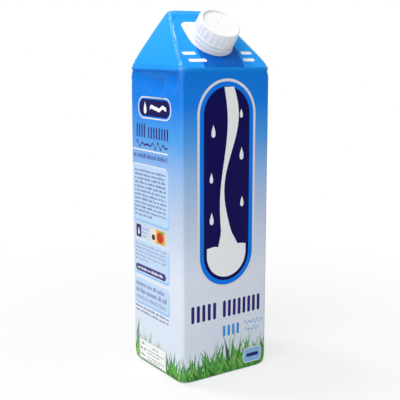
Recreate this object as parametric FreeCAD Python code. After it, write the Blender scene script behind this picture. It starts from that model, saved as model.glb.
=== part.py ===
"""A one-litre milk carton: a tall paperboard pack with a slanted gable roof and a screw cap.

The pack stands upright. +Z is up, the front panel faces -Y, and the origin is the middle
of the base, on the surface that the pack stands on. The pack is full and shut, so its
body is one closed solid. The closure on the front slope is a flange with its neck, a
tamper band and a ribbed screw cap, each a piece of its own.

The front slope has its own frame: x runs to the right, y up the slope from the front
shoulder crease, and z straight out of the board.
"""
import FreeCAD, Part
import math
import os

from FreeCAD import Matrix, Vector

# ---------------------------------------------------------------- driving dimensions, mm

# Pack
front_width = 71.0          # across the front panel
side_depth = 65.0           # from the front panel to the back panel
shoulder_height = 211.0     # from the floor to the front and back shoulder creases
upright_radius = 1.8        # rounding of the four upright edges
base_radius = 1.2           # rounding where the walls turn under the base
shoulder_radius = 1.5       # rounding of the shoulder creases

# Roof
ridge_rise = 37.2           # from the shoulder creases up to the ridge
ridge_length = 38.0
ridge_setback = 9.0         # from the middle of the pack back to the ridge
ridge_thickness = 1.6       # the two boards that meet in the ridge
ridge_radius = 0.7          # rounding along the ridge

# Sealing fin, folded down on the back slope
fin_height = 8.0
fin_thickness = 1.0
fin_end_gap = 1.5           # from each end of the fin to the end of the ridge

# Side flaps, which end in a thick rolled edge above the side walls
flap_edge_height = 2.4      # height of the rolled edge below the shoulder creases
pinch_depth = 1.5           # how far the wall is drawn in below the rolled edge
pinch_margin = 2.5          # from the upright edges to the ends of the drawn-in part
back_pinch_drop = 14.0      # how far down the wall the drawn-in facets reach
front_pinch_drop = 20.0
back_pinch_offset = 9.0     # lower tips of the facets, behind and before the middle
front_pinch_offset = 12.0

# Base
base_rim = 4.0              # width of the rim that the pack stands on
base_recess = 0.6           # how far the panel inside the rim is raised
base_ear_width = 26.0       # reach of the two folded ears towards the middle
base_seal_width = 8.0       # bottom seal, which lies flat across the middle

# Closure, on the front slope
closure_height = 25.3       # from the front shoulder crease up the slope to the cap's axis
neck_radius = 12.6
neck_clearance = 0.3        # between the neck and the pieces around it
flange_thickness = 1.2
flange_edge_radius = 0.4
flange_margin = 1.6         # from the tamper band out to the flange's straight sides
flange_top_margin = 2.5     # from the tamper band up to the flange's straight upper edge
flange_round_offset = 1.7   # centre of the round lower end above the cap's axis
flange_corner_radius = 4.0
collar_height = 0.4         # step on the flange that carries the tamper band
collar_inset = 0.9          # from the tamper band's outside in to the step
band_wall = 2.0
band_height = 3.2
band_edge_radius = 0.5
band_gap = 0.3              # between the tamper band and the cap
cap_wall = 1.4
cap_height = 10.9
cap_hem_height = 2.0        # smooth band below the ribs
cap_rim_height = 1.0        # smooth band above the ribs
cap_rim_width = 2.45        # flat ring round the recessed disc
cap_edge_radius = 0.7
cap_top_thickness = 1.6     # under the recessed disc
rib_count = 24
rib_width = 0.7
rib_depth = 0.35            # how far the ribs, the hem and the rim stand out of the skirt
rib_root = 1.0              # how far a rib is let into the skirt
disc_depth = 0.9
gate_radius = 1.1           # small dimple in the middle of the disc
gate_depth = 0.3


# ---------------------------------------------------------------- derived sizes

ridge_height = shoulder_height + ridge_rise
slope_run = side_depth / 2 + ridge_setback - ridge_thickness / 2
front_slope_angle = math.atan2(ridge_rise, slope_run)

bore_radius = neck_radius + neck_clearance
band_radius = bore_radius + band_wall
collar_radius = band_radius - collar_inset
skirt_radius = bore_radius + cap_wall
cap_radius = skirt_radius + rib_depth
disc_radius = cap_radius - cap_rim_width
flange_half_width = band_radius + flange_margin
flange_top = band_radius + flange_top_margin

band_bottom = flange_thickness + collar_height
cap_bottom = band_bottom + band_height + band_gap
cap_top = cap_bottom + cap_height
neck_top = cap_top - disc_depth - cap_top_thickness


def outline_solid(points, direction, rounded):
    """Extrude a closed outline, with arcs of the given radii at the named corners.

    rounded maps a corner's index to the radius of its arc.
    """
    segments = []
    last = len(points)
    for index in range(last):
        corner = points[index]
        radius = rounded.get(index, 0.0)
        if not radius:
            segments.append((corner, corner, None))
            continue
        to_before = (points[index - 1] - corner).normalize()
        to_after = (points[(index + 1) % last] - corner).normalize()
        half_angle = to_before.getAngle(to_after) / 2
        reach = radius / math.tan(half_angle)
        bisector = (to_before + to_after).normalize()
        middle = corner + bisector * (radius / math.sin(half_angle) - radius)
        segments.append((corner + to_before * reach, corner + to_after * reach, middle))
    edges = []
    for index, (start, end, middle) in enumerate(segments):
        if middle is not None:
            edges.append(Part.Arc(start, middle, end).toShape())
        next_start = segments[(index + 1) % last][0]
        if end.distanceToPoint(next_start) > 1e-6:
            edges.append(Part.LineSegment(end, next_start).toShape())
    return Part.Face(Part.Wire(edges)).extrude(direction)


def tetrahedron(a, b, c, d):
    """Closed solid with the four given corners."""
    faces = []
    for corners in ((a, b, c), (a, b, d), (a, c, d), (b, c, d)):
        faces.append(Part.Face(Part.makePolygon(list(corners) + [corners[0]])))
    return Part.Solid(Part.Shell(faces))


def mirrored_in_x(shape):
    return shape.mirror(Vector(0, 0, 0), Vector(1, 0, 0))


# ---------------------------------------------------------------- carton


def plan_prism():
    """The pack's rounded plan, drawn up to the ridge."""
    x = front_width / 2
    y = side_depth / 2
    points = [Vector(-x, -y, 0), Vector(x, -y, 0), Vector(x, y, 0), Vector(-x, y, 0)]
    radii = {index: upright_radius for index in range(4)}
    return outline_solid(points, Vector(0, 0, ridge_height), radii)


def side_prism():
    """The outline seen from the side, with the two roof slopes, drawn across the front."""
    y = side_depth / 2
    x = -front_width / 2
    ridge_front = ridge_setback - ridge_thickness / 2
    ridge_back = ridge_setback + ridge_thickness / 2
    points = [
        Vector(x, -y, 0),
        Vector(x, y, 0),
        Vector(x, y, shoulder_height),
        Vector(x, ridge_back, ridge_height),
        Vector(x, ridge_front, ridge_height),
        Vector(x, -y, shoulder_height),
    ]
    radii = {0: base_radius, 1: base_radius, 2: shoulder_radius, 5: shoulder_radius}
    radii.update({3: ridge_radius, 4: ridge_radius})
    return outline_solid(points, Vector(front_width, 0, 0), radii)


def front_prism():
    """The outline seen from the front, with the two steep gable ends, drawn front to back."""
    x = front_width / 2
    y = -side_depth / 2
    points = [
        Vector(-x, y, 0),
        Vector(x, y, 0),
        Vector(x, y, shoulder_height),
        Vector(ridge_length / 2, y, ridge_height),
        Vector(-ridge_length / 2, y, ridge_height),
        Vector(-x, y, shoulder_height),
    ]
    radii = {0: base_radius, 1: base_radius, 2: shoulder_radius, 5: shoulder_radius}
    return outline_solid(points, Vector(0, side_depth, 0), radii)


def pinch(drop, tip_y):
    """Wedge that draws the left wall in under the flap's rolled edge, down to one tip."""
    outside = 0.05
    wall = -front_width / 2 - outside
    reach = side_depth / 2 - pinch_margin
    top = shoulder_height - flap_edge_height
    return tetrahedron(
        Vector(wall, -reach, top),
        Vector(wall, reach, top),
        Vector(wall + outside + pinch_depth, tip_y, top),
        Vector(wall, tip_y, shoulder_height - drop),
    )


def folded_fin():
    """The top seal, bent over the ridge and lying on the back slope."""
    back_run = side_depth / 2 - ridge_setback - ridge_thickness / 2
    down = Vector(0, back_run, -ridge_rise).normalize()
    out = Vector(0, ridge_rise, back_run).normalize()
    x = ridge_length / 2 - fin_end_gap
    top = Vector(-x, ridge_setback + ridge_thickness / 2, ridge_height) + down * ridge_radius
    root = top - out * ridge_radius
    points = [
        root,
        root + out * (ridge_radius + fin_thickness),
        root + out * (ridge_radius + fin_thickness) + down * fin_height,
        root + down * fin_height,
    ]
    half = fin_thickness / 2
    return outline_solid(points, Vector(2 * x, 0, 0), {1: half, 2: half})


def base_pocket():
    """The raised panel inside the standing rim, less the two folded ears and the seal."""
    x = front_width / 2 - base_rim
    y = side_depth / 2 - base_rim
    points = [Vector(-x, -y, 0), Vector(x, -y, 0), Vector(x, y, 0), Vector(-x, y, 0)]
    pocket = outline_solid(points, Vector(0, 0, base_recess), {})
    tip = base_ear_width - base_rim
    corners = [Vector(-x, -y, 0), Vector(-x, y, 0), Vector(-x + tip, 0, 0)]
    ear = outline_solid(corners, Vector(0, 0, base_recess), {})
    seal = Part.makeBox(2 * x, base_seal_width, base_recess, Vector(-x, -base_seal_width / 2, 0))
    return pocket.cut(ear).cut(mirrored_in_x(ear)).cut(seal)


def carton():
    body = plan_prism().common(side_prism()).common(front_prism())
    left = pinch(back_pinch_drop, back_pinch_offset)
    left = left.fuse(pinch(front_pinch_drop, -front_pinch_offset))
    body = body.cut(left).cut(mirrored_in_x(left))
    body = body.cut(base_pocket())
    return body.fuse(folded_fin()).removeSplitter()


# ---------------------------------------------------------------- closure


def on_front_slope(shape):
    """Move a piece from the closure's own frame, with the cap's axis as z, to the slope."""
    cosine = math.cos(front_slope_angle)
    sine = math.sin(front_slope_angle)
    up_slope = Vector(0, cosine, sine)
    outward = Vector(0, -sine, cosine)
    foot = Vector(0, -side_depth / 2, shoulder_height) + up_slope * closure_height
    turn = Matrix(
        1, 0, 0, foot.x,
        0, up_slope.y, outward.y, foot.y,
        0, up_slope.z, outward.z, foot.z,
        0, 0, 0, 1,
    )
    return shape.transformed(turn)


def disc(radius, bottom, height):
    """Round slab about the cap's axis."""
    return Part.makeCylinder(radius, height, Vector(0, 0, bottom))


def edges_at(shape, radius, height):
    """Circular edges of one radius at one height about the cap's axis."""
    found = []
    for edge in shape.Edges:
        curve = edge.Curve
        if not isinstance(curve, Part.Circle) or abs(curve.Radius - radius) > 1e-4:
            continue
        if abs(curve.Center.z - height) < 1e-4 and math.hypot(curve.Center.x, curve.Center.y) < 1e-4:
            found.append(edge)
    return found


def flange_plate():
    """Flat plate with a straight upper edge and a round lower end."""
    half = flange_half_width
    centre = flange_round_offset
    inner_x = half - flange_corner_radius
    inner_y = flange_top - flange_corner_radius
    diagonal = flange_corner_radius * math.sqrt(0.5)
    arcs = (
        ((-half, centre), (0, centre - half), (half, centre)),
        ((half, inner_y), (inner_x + diagonal, inner_y + diagonal), (inner_x, flange_top)),
        ((-inner_x, flange_top), (-inner_x - diagonal, inner_y + diagonal), (-half, inner_y)),
    )
    edges = []
    for index, arc in enumerate(arcs):
        start, middle, end = [Vector(x, y, 0) for x, y in arc]
        edges.append(Part.Arc(start, middle, end).toShape())
        next_start = arcs[(index + 1) % len(arcs)][0]
        edges.append(Part.LineSegment(end, Vector(next_start[0], next_start[1], 0)).toShape())
    plate = Part.Face(Part.Wire(edges)).extrude(Vector(0, 0, flange_thickness))
    upper = [edge for edge in plate.Edges if edge.CenterOfMass.z > flange_thickness - 1e-6]
    return plate.makeFillet(flange_edge_radius, upper)


def spout():
    """Flange welded to the board, the step for the tamper band, and the neck."""
    collar = disc(collar_radius, 0, band_bottom)
    neck = disc(neck_radius, 0, neck_top)
    return flange_plate().fuse(collar).fuse(neck).removeSplitter()


def tamper_band():
    """Plain ring that stays on the neck when the cap is first turned."""
    ring = disc(band_radius, band_bottom, band_height)
    rounded = edges_at(ring, band_radius, band_bottom)
    rounded += edges_at(ring, band_radius, band_bottom + band_height)
    ring = ring.makeFillet(band_edge_radius, rounded)
    return ring.cut(disc(bore_radius, band_bottom, band_height))


def cap_rib(angle):
    """One long rib of the skirt, from the hem up into the rim."""
    reach = rib_root + rib_depth
    height = cap_height - cap_hem_height / 2 - cap_rim_height
    foot = Vector(cap_radius - reach, -rib_width / 2, cap_bottom + cap_hem_height / 2)
    rib = Part.makeBox(reach, rib_width, height, foot)
    rib.rotate(Vector(0, 0, 0), Vector(0, 0, 1), angle)
    return rib


def cap():
    """Screw cap: a ribbed skirt between two smooth bands, and a recessed disc on top."""
    rim = disc(cap_radius, cap_top - cap_rim_height, cap_rim_height)
    rim = rim.makeFillet(cap_edge_radius, edges_at(rim, cap_radius, cap_top))
    shell = disc(skirt_radius, cap_bottom, cap_height - cap_edge_radius)
    shell = shell.fuse(disc(cap_radius, cap_bottom, cap_hem_height)).fuse(rim)
    for index in range(rib_count):
        shell = shell.fuse(cap_rib(360.0 * index / rib_count))
    shell = shell.common(disc(cap_radius, cap_bottom, cap_height))
    shell = shell.cut(disc(disc_radius, cap_top - disc_depth, disc_depth))
    shell = shell.cut(disc(gate_radius, cap_top - disc_depth - gate_depth, gate_depth))
    return shell.cut(disc(bore_radius, cap_bottom, neck_top - cap_bottom)).removeSplitter()


# ---------------------------------------------------------------- output


def main():
    pieces = {
        "carton": carton(),
        "spout": on_front_slope(spout()),
        "tamper_band": on_front_slope(tamper_band()),
        "cap": on_front_slope(cap()),
    }
    os.makedirs("parts", exist_ok=True)
    for name, shape in pieces.items():
        shape.exportStep(os.path.join("parts", name + ".step"))
        box = shape.BoundBox
        print(name, "solids", len(shape.Solids), "valid", shape.isValid(), "volume", round(shape.Volume))
        print("  x %.2f %.2f" % (box.XMin, box.XMax))
        print("  y %.2f %.2f" % (box.YMin, box.YMax))
        print("  z %.2f %.2f" % (box.ZMin, box.ZMax))


main()
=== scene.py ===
"""Looks of a one-litre milk carton: printed board pack, white flange, tamper band and cap.

Sizes in this script are millimetres, in the frame of the CAD model. Each mesh is scaled to
metres when it is made. The pack is drawn as a sharp-edged body of flat panels. Print is cut
into the panels as faces of their own, and the edges are then rounded and the board creased.
"""

import math
import random

import bmesh
import bpy
from mathutils import Matrix, Vector, noise
from mathutils.bvhtree import BVHTree
from mathutils.geometry import delaunay_2d_cdt


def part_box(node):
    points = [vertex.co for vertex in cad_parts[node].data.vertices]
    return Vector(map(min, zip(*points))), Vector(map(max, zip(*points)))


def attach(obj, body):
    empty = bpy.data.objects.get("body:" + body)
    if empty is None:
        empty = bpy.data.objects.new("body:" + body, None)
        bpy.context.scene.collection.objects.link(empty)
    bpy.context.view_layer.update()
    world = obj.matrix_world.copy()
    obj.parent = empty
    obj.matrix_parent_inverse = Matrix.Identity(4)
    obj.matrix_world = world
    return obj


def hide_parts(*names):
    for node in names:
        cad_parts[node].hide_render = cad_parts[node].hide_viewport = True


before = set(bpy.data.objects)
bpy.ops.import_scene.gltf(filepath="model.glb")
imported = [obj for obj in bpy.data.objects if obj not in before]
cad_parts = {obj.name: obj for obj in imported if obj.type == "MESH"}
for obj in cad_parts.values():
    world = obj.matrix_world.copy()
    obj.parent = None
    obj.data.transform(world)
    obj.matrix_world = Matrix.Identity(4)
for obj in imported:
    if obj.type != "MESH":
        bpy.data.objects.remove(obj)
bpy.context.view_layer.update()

# ---------------------------------------------------------------- sizes, mm

MM = 0.001

pack_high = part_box("carton")[1]
half_width = pack_high.x / MM
half_depth = pack_high.y / MM
shoulder_z = 211.0
ridge_z = 248.2
ridge_half = 19.0                   # half the length of the ridge
ridge_y = 9.0                       # the ridge lies behind the middle
ridge_half_thickness = 0.8
roof_rise = ridge_z - shoulder_z
front_run = half_depth + ridge_y - ridge_half_thickness
back_run = half_depth - ridge_y - ridge_half_thickness
slope_length = math.hypot(front_run, roof_rise)

broad_radius = 3.8                  # the corners where three folds meet
soft_radius = 2.4                   # upright edges, base edges and hips
crisp_radius = 0.7                  # shoulder creases, hems and the ridge
hollow, hollow_edge = 0.6, 0.45     # depth of the base's sunk fields, width of their edge
hem_low = 208.7                     # lower edge of the side flaps' rolled hem
grass_foot = 0.15                   # lower edge of the grass print, on the turn under the base

# Centres of the four walls along the unfolded strip, which starts behind the pack
perimeter = 4 * (half_width + half_depth)
LEFT = half_width + half_depth
FRONT = LEFT + half_depth + half_width
RIGHT = FRONT + half_width + half_depth
BACK = perimeter

# Closure: the cap's axis stands on the front slope
closure_up_slope = 25.3
band_bottom = 1.6
band_top = 4.8
cap_bottom = 5.1
cap_top = 16.0
flange_half_width = 16.5
flange_top = 17.4
flange_round_offset = 1.7
flange_thickness = 1.2
band_radius = 14.9
neck_radius = 12.6
skirt_radius = 14.3
cap_radius = 14.65
disc_radius = 11.9
disc_depth = 0.9
skirt_step = 2.15                   # from the cap's lower edge up to where its ribs can start
rib_count = 24
bridge_count = 12
closure_clearance = 0.3             # between the neck and the rings round it

# Spacing of the mesh's points
fold_grid = 0.45                    # near a fold that will be rounded
fold_reach = 3.4                    # how far from a fold that goes on
wall_grid = 3.4
creased_grid = 1.1                  # on the creased top of the walls
creased_from = 188.0
hem_grid = 0.28
border_lines = (0.45, 0.95, 1.5, 2.1, 2.8)      # distances from a roof or base panel's edge
border_grid = 1.2                   # along those lines
border_clearance = 0.2              # between a panel's edge and its other points
weld_distance = 5e-4                # joins the panels' edges


def smooth(low, high, value):
    """0 below low, 1 above high, and an even ease between."""
    t = min(max((value - low) / (high - low), 0.0), 1.0)
    return t * t * (3 - 2 * t)


def linear(r, g, b):
    """A printed colour, given as 0 to 255, as scene-linear values."""
    channels = []
    for value in (r, g, b):
        share = value / 255
        channels.append(share / 12.92 if share <= 0.04045 else ((share + 0.055) / 1.055) ** 2.4)
    return tuple(channels)


# ---------------------------------------------------------------- inks

# Each ink is its colour and how far it covers the ground print.
INKS = {
    "ground": (0, 0, 0, 0.0),
    "navy": (12, 7, 82, 1.0),
    "mid_blue": (12, 124, 240, 1.0),
    "pale_line": (230, 230, 232, 1.0),
    "white": (246, 248, 250, 1.0),
    "heading": (52, 38, 116, 1.0),
    "sky_text": (58, 146, 226, 1.0),
    "sky_script": (110, 176, 236, 1.0),
    "band": (6, 104, 206, 1.0),
    "side_text": (74, 74, 150, 0.85),
    "fine_text": (92, 96, 160, 0.78),
    "faint_text": (128, 140, 190, 0.7),
    "box_fill": (196, 222, 250, 0.92),
    "box_edge": (146, 200, 250, 0.95),
    "box_light": (238, 243, 250, 0.95),
    "pill": (72, 62, 134, 1.0),
    "card": (248, 248, 246, 1.0),
    "card_line": (150, 158, 152, 1.0),
    "picture_red": (206, 58, 42, 1.0),
    "picture_yellow": (226, 178, 52, 1.0),
    "picture_dark": (72, 74, 58, 1.0),
    "picture_cream": (240, 230, 212, 1.0),
    "leaf": (96, 150, 70, 1.0),
    "litre_box": (150, 194, 240, 1.0),
    "litre_text": (44, 48, 120, 1.0),
    "spot": (238, 170, 196, 1.0),
    "grass_deep": (48, 104, 52, 1.0),
    "grass_mid": (72, 144, 62, 1.0),
    "grass_bright": (96, 176, 76, 1.0),
    "grass_light": (138, 194, 100, 1.0),
    "grass_gold": (172, 194, 92, 1.0),
    "grass_far": (120, 166, 120, 0.7),
    "grass_faded": (150, 196, 140, 0.6),
}
INK_NAMES = list(INKS)


# ---------------------------------------------------------------- outlines of print


def arc_points(cx, cy, radius_x, radius_y, start, stop, count):
    """Points along part of an ellipse, angles in degrees."""
    points = []
    for index in range(count + 1):
        angle = math.radians(start + (stop - start) * index / count)
        points.append((cx + radius_x * math.cos(angle), cy + radius_y * math.sin(angle)))
    return points


def rounded_box(left, right, low, high, radius, count=5):
    """Box with round corners."""
    points = []
    corners = ((right, high, 0), (left, high, 90), (left, low, 180), (right, low, 270))
    for x, y, start in corners:
        cx = x - radius if x == right else x + radius
        cy = y - radius if y == high else y + radius
        points += arc_points(cx, cy, radius, radius, start, start + 90, count)
    return points


def block(left, right, low, high):
    """Box with sharp corners."""
    return [(left, low), (right, low), (right, high), (left, high)]


def capsule(left, right, low, high, count=14):
    """Upright or lying box whose short ends are half circles."""
    return rounded_box(left, right, low, high, min(right - left, high - low) / 2 - 1e-3, count)


def drop(cx, low, width, height, count=22):
    """Falling drop with its point at the top."""
    points = []
    for index in range(count):
        angle = 2 * math.pi * index / count
        pinch = math.sin(angle / 2) ** 1.4
        x = cx + width / 2 * math.sin(angle) * pinch
        points.append((x, low + height / 2 * (1 + math.cos(angle))))
    return points


def wavy_stroke(left, right, middle, rise, waves, thickness, count=96):
    """Stroke that runs in even waves, like a hand-drawn flourish."""
    upper, lower = [], []
    for index in range(count + 1):
        share = index / count
        x = left + (right - left) * share
        swell = rise * (0.55 + 0.45 * math.cos(share * 9.0)) * math.sin(2 * math.pi * waves * share)
        upper.append((x, middle + swell + thickness / 2))
        lower.append((x, middle + swell - thickness / 2))
    return lower + upper[::-1]


def blade(foot, height, width, lean, bend, steps=5):
    """Tapered blade of grass that leans and bends towards its tip."""
    left, right = [], []
    for index in range(steps):
        share = index / steps
        centre = foot + lean * share + bend * share * share
        half = width / 2 * (1 - share ** 2.4)
        z = grass_foot + (height - grass_foot) * share
        left.append((centre - half, z))
        right.append((centre + half, z))
    tip = (foot + lean + bend, height)
    return right + [tip] + left[::-1]


def signed_area(points):
    """Above 0 when the points run anticlockwise."""
    return sum(points[i - 1][0] * y - points[i - 1][1] * x for i, (x, y) in enumerate(points)) / 2


class Sheet:
    """The print on one unfolded panel, in painting order."""

    def __init__(self, centre=0.0):
        self.centre = centre
        self.shapes = []

    def add(self, ink, points):
        """Lays a filled shape on the sheet, always anticlockwise."""
        moved = [(x + self.centre, y) for x, y in points]
        if signed_area(moved) < 0:
            moved.reverse()
        self.shapes.append((INK_NAMES.index(ink), moved))

    def framed(self, ink, edge_ink, outline, margin, *sizes):
        """A shape with a border: outline is one of the box functions."""
        left, right, low, high = sizes[:4]
        self.add(edge_ink, outline(left, right, low, high, *sizes[4:]))
        inner = [left + margin, right - margin, low + margin, high - margin]
        inner += [size - margin for size in sizes[4:]]
        self.add(ink, outline(*inner))

    def words(self, ink, left, right, low, height, rng, letter=1.15, gap=0.32):
        """One line of small print: runs of little upright blocks with spaces between."""
        at = left
        while at < right - letter:
            for _ in range(rng.randint(2, 8)):
                wide = letter * rng.uniform(0.7, 1.15)
                if at + wide > right:
                    break
                tall = height * rng.choice((0.72, 0.72, 1.0))
                self.add(ink, block(at, at + wide, low, low + tall))
                at += wide + gap
            at += letter * 0.9

    def paragraph(self, ink, left, right, top, rows, pitch, height, rng):
        """Rows of small print, the last of them short."""
        for row in range(rows):
            end = right if row < rows - 1 else left + (right - left) * rng.uniform(0.4, 0.9)
            self.words(ink, left, end, top - height - row * pitch, height, rng)


def milk_badge(sheet):
    """Tall navy capsule with a poured stream of milk, its pool and some drops."""
    left, right, low, high = -23.5, 23.5, 63.5, 204.0
    inset = 5.0
    for ink, margin in (("pale_line", 0.0), ("mid_blue", 1.8), ("navy", inset)):
        outline = capsule(left + margin, right - margin, low + margin, high - margin, 20)
        sheet.add(ink, outline)
    stream_top, stream_low, count = high - inset - 0.4, 89.0, 48
    sides = ([], [])
    for index in range(count + 1):
        share = index / count
        z = stream_top + (stream_low - stream_top) * share
        centre = 5.4 * math.sin(math.pi * (2.1 * share + 0.1)) * (1 - 0.45 * share)
        half = 3.0 + 1.6 * math.sin(math.pi * share * 2.3 + 0.6) + 4.0 * smooth(0.86, 1.0, share)
        sides[0].append((centre - half, z))
        sides[1].append((centre + half, z))
    sheet.add("white", sides[0] + sides[1][::-1])
    rim = 2.4                       # navy between the pool and the badge's edge
    bowl = right - inset - rim
    centre_z = low + inset + bowl + rim
    surface = []
    for index in range(count + 1):
        share = index / count
        swell = 1.7 * math.sin(math.pi * (2.6 * share + 0.2)) * math.sin(math.pi * share)
        surface.append((bowl * (1 - 2 * share), centre_z + 5.0 + swell))
    sheet.add("white", arc_points(0, centre_z, bowl, bowl, 180, 360, count) + surface)
    drops = (
        # middle, foot, width, height
        (-12.3, 108, 4.4, 8.4), (12.6, 118, 4.0, 7.4), (12.0, 150, 4.6, 8.6),
        (-12.6, 136, 3.8, 7.0), (-11.0, 166, 4.6, 8.4), (11.6, 178, 3.4, 6.2),
    )
    for place in drops:
        sheet.add("white", drop(*place))


def strokes(sheet, ink, left, count, low, height, width, pitch):
    """Row of plain upright bars of one height, where a heading would stand."""
    for index in range(count):
        at = left + index * pitch
        sheet.add(ink, capsule(at, at + width, low, low + height, 6))


def front_print(centre):
    """The main panel: badge, heading bars, script strokes and a small spot; its small volume label
    is added by volume_label.
    """
    sheet = Sheet(centre)
    milk_badge(sheet)
    strokes(sheet, "heading", -28.5, 5, 42.0, 12.0, 2.5, 4.4)
    strokes(sheet, "heading", -2.7, 8, 42.0, 12.0, 2.5, 4.2)
    strokes(sheet, "sky_text", -2.5, 4, 28.0, 8.0, 2.0, 3.9)
    sheet.add("sky_script", wavy_stroke(15.5, 32.0, 34.6, 1.9, 4.5, 0.9))
    sheet.add("sky_script", wavy_stroke(16.5, 29.0, 29.4, 1.5, 3.5, 0.8))
    sheet.add("spot", arc_points(-31.2, 42.0, 0.5, 0.5, 0, 330, 11))
    return sheet


def volume_label(sheet):
    """Small rounded label low on the front, over the grass."""
    sheet.framed("litre_box", "box_light", rounded_box, 0.6, 15.4, 31.4, 4.4, 15.4, 2.4)
    sheet.add("litre_text", capsule(18.0, 28.8, 8.6, 11.2, 8))


def info_box(sheet, left, right, low, high):
    """Pale box with a lit upper edge and a stronger blue edge below and to the right."""
    sheet.add("box_light", rounded_box(left, right - 0.8, low + 1.0, high + 0.7, 3.0))
    sheet.add("box_edge", rounded_box(left + 0.3, right + 0.9, low - 1.3, high - 0.6, 3.2))
    sheet.add("box_fill", rounded_box(left, right, low, high, 3.0))


def side_print(centre, seed):
    """The information panel: small badge, heading, boxes of small print and a picture; its card is
    added by recycling_card.
    """
    rng = random.Random(seed)
    sheet = Sheet(centre)
    left, right = -29.6, 16.6
    layers = (("pale_line", 0.0, 6.8), ("mid_blue", 1.0, 5.9), ("navy", 1.9, 5.0))
    for ink, margin, radius in layers:
        outline = (-21.8 + margin, 20.6 - margin, 176.6 + margin, 191.6 - margin)
        sheet.add(ink, rounded_box(*outline, radius))
    sheet.add("white", drop(-12.5, 179.9, 5.4, 8.4))
    sheet.add("white", wavy_stroke(-6.0, 14.5, 184.0, 1.5, 1.5, 2.6))
    strokes(sheet, "heading", -24.5, 4, 163.4, 9.6, 1.7, 3.4)
    strokes(sheet, "heading", -8.6, 8, 163.4, 8.0, 1.7, 3.4)
    sheet.add("heading", wavy_stroke(-25.0, 16.0, 159.0, 2.4, 6.0, 1.3))
    sheet.add("white", rounded_box(left, right - 0.2, 154.4, 155.3, 0.35))
    sheet.words("side_text", left, right, 149.4, 3.2, rng, 1.2, 0.4)
    info_box(sheet, left - 0.8, right, 105.2, 144.4)
    text_left, text_right = left + 1.4, right - 2.2
    sheet.paragraph("fine_text", text_left, text_right, 141.4, 12, 2.85, 1.75, rng)
    sheet.add("heading", rounded_box(-26.8, -19.6, 92.6, 101.6, 0.8))
    sheet.add("white", drop(-23.2, 94.2, 3.4, 5.6))
    sheet.paragraph("faint_text", -17.8, -9.6, 100.4, 3, 2.7, 1.5, rng)
    picture(sheet, -6.6, 12.2, 92.4, 102.0)
    info_box(sheet, left - 0.8, right, 66.8, 90.6)
    sheet.paragraph("faint_text", text_left, text_right, 88.6, 5, 2.75, 1.6, rng)
    sheet.add("pill", capsule(text_left, right - 3.6, 67.8, 72.8, 7))
    sheet.words("white", left + 4.5, right - 7.0, 69.4, 1.9, rng, 1.2)
    info_box(sheet, left - 0.8, right, 44.8, 62.6)
    rows = (
        # ink, foot, height, letter width
        ("fine_text", 57.0, 3.1, 1.3), ("fine_text", 51.9, 3.4, 1.4),
        ("faint_text", 47.2, 3.0, 1.3),
    )
    for ink, low, height, letter in rows:
        sheet.words(ink, left + 1.6, right - 3.0, low, height, rng, letter, 0.45)
    sheet.words("side_text", left, right - 0.4, 40.6, 1.5, rng)
    sheet.words("side_text", left + 1.0, right - 1.2, 37.6, 1.5, rng)
    return sheet


def picture(sheet, left, right, low, high):
    """Small serving picture in plain shapes: a yellow cloth, a red fruit and a leaf."""
    sheet.add("picture_yellow", rounded_box(left, right, low, high, 1.8))
    sheet.add("picture_cream", rounded_box(left, left + 7.4, low, high, 1.8))
    sheet.add("picture_red", arc_points(right - 6.2, low + 4.6, 4.2, 3.9, 0, 345, 23))
    sheet.add("picture_dark", rounded_box(left + 1.6, left + 6.0, low + 1.6, low + 5.4, 1.0))
    sheet.add("leaf", arc_points(right - 4.2, high - 1.6, 2.2, 0.9, 0, 340, 17))


def recycling_card(sheet, rng):
    """White card near the foot of the side: three plain ovals and small print."""
    sheet.framed("card", "card_line", rounded_box, 0.3, -25.0, 11.6, 2.4, 17.6, 0.5)
    for turn in range(3):
        angle = math.radians(90 + 120 * turn)
        cx = -19.6 + 2.6 * math.cos(angle)
        cy = 11.6 + 2.6 * math.sin(angle)
        sheet.add("card_line", arc_points(cx, cy, 1.5, 0.9, 60 * turn, 60 * turn + 340, 17))
    sheet.words("card_line", -23.2, -16.0, 5.0, 1.4, rng)
    sheet.words("card_line", -6.4, 1.0, 13.4, 1.3, rng)
    sheet.paragraph("card_line", -13.4, 9.6, 11.6, 2, 2.2, 1.0, rng)
    sheet.paragraph("card_line", -13.4, 9.6, 6.4, 2, 1.9, 0.9, rng)


def grass(seed):
    """Blades of grass all the way round the foot of the pack, from far ones to near ones."""
    rng = random.Random(seed)
    sheet = Sheet()
    tallest_at = FRONT + 20.0
    sheet.add("grass_mid", block(0, perimeter, grass_foot, 5.0))
    layers = (
        # inks, how many, least and most height, width, lean
        (("grass_far", "grass_faded"), 170, 14.0, 31.0, 1.6, 4.0),
        (("grass_deep", "grass_mid"), 240, 11.0, 27.0, 2.1, 5.6),
        (("grass_bright", "grass_mid", "grass_bright"), 260, 8.0, 22.0, 2.5, 6.0),
        (("grass_light", "grass_bright", "grass_bright", "grass_gold"), 140, 6.0, 17.0, 1.7, 6.0),
        (("grass_deep", "grass_mid", "grass_bright", "grass_mid"), 170, 4.0, 11.5, 2.2, 5.0),
    )
    for inks, count, least, most, width, lean in layers:
        for index in range(count):
            foot = perimeter * (index + rng.uniform(-0.6, 0.6)) / count
            swell = 0.92 + 0.24 * math.cos(4 * math.pi * (foot - tallest_at) / perimeter)
            swell += 0.13 * math.sin(foot * 0.37)
            height = (least + (most - least) * rng.random() ** 1.2) * swell
            outline = blade(foot, height, width * rng.uniform(0.6, 1.25),
                            lean * rng.uniform(-1, 1), lean * rng.uniform(-1.1, 1.1))
            sheet.add(rng.choice(inks), outline)
    return sheet


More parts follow.
